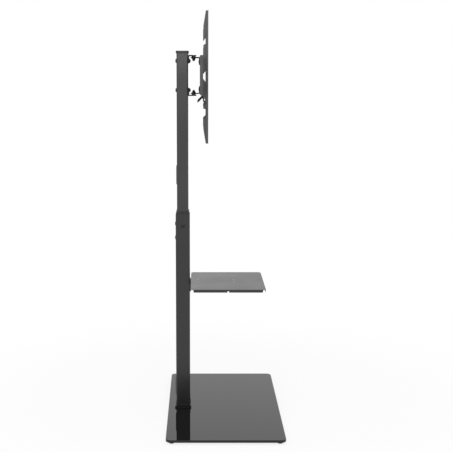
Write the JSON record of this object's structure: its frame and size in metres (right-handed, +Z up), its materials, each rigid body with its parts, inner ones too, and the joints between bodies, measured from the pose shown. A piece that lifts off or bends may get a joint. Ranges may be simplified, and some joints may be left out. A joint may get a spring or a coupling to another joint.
{
  "type": "tv stand with mount",
  "caption": "Floor stand for a flat screen: glass base, height-adjustable column with cable ports, shelf, swivelling head, cross rail and sliding arms with bolt slots.",
  "frame": {"origin": "on the floor below the middle of the glass base", "axes": "+Z is up, -Y is the front, where the television hangs, and X runs along the cross rail: +X is to the left of somebody who stands in front and looks at the stand"},
  "size_m": [0.7, 0.4, 1.418],
  "materials": {
    "black_glass": "polished tempered glass, black",
    "satin_black_steel": "satin black powder coat",
    "matt_black_steel": "matt black powder coat",
    "black_fasteners": "black zinc plating",
    "bare_steel": "zinc plated",
    "black_plastic": "fine moulded texture",
    "black_nylon": "smooth",
    "black_rubber": "matt"
  },
  "bodies": {
    "stand": {"base_glass": "black_glass", "base_feet": "black_rubber", "glass_bushes": "black_plastic", "under_gasket": "black_rubber", "under_plate": "bare_steel", "base_bolts": "bare_steel", "foot_gasket": "black_rubber", "foot_plate": "satin_black_steel", "lower_tube": "satin_black_steel", "lower_grommet": "black_plastic", "column_bushing": "black_plastic", "side_screws": "black_fasteners", "clamp_bolts": "black_fasteners", "clamp_bar": "bare_steel", "shelf_bracket": "matt_black_steel", "shelf_bracket_bolts": "black_fasteners", "shelf_rivet_nuts": "bare_steel", "shelf_tray": "satin_black_steel", "shelf_studs": "bare_steel", "shelf_nuts": "bare_steel"},
    "upper_column": {"upper_tube": "satin_black_steel", "glide_shoe": "black_plastic", "upper_grommet": "black_plastic", "top_cap": "black_plastic", "upper_column_bracket": "matt_black_steel", "lower_column_bracket": "matt_black_steel", "mount_bolts": "black_fasteners", "mount_nuts": "black_fasteners", "pivot_bolts": "black_fasteners", "swivel_washers": "black_nylon", "pivot_washers": "black_fasteners", "pivot_nuts": "black_fasteners"},
    "swivel_head": {"upper_head_bracket": "matt_black_steel", "lower_head_bracket": "matt_black_steel", "head_bolts": "black_fasteners", "head_nuts": "black_fasteners", "mount_rail": "satin_black_steel", "rail_end_caps": "black_plastic"},
    "left_arm_set": {"left_arm": "satin_black_steel", "left_latch": "black_plastic", "left_lock_screw": "black_fasteners"},
    "right_arm_set": {"right_arm": "satin_black_steel", "right_latch": "black_plastic", "right_lock_screw": "black_fasteners"}
  },
  "joints": [
    {"name": "column_slide", "type": "slide", "parent": "stand", "child": "upper_column", "axis": [0, 0, 1], "range_m": [-0.09, 0]},
    {"name": "head_swivel", "type": "hinge", "parent": "upper_column", "child": "swivel_head", "pos_m": [0, 0.1078, 1.206], "axis": [0, 0, 1], "range_deg": [-35, 35]},
    {"name": "left_arm_slide", "type": "slide", "parent": "swivel_head", "child": "left_arm_set", "axis": [1, 0, 0], "range_m": [-0.073, 0.075]},
    {"name": "right_arm_slide", "type": "slide", "parent": "swivel_head", "child": "right_arm_set", "axis": [-1, 0, 0], "range_m": [-0.073, 0.075]}
  ]
}
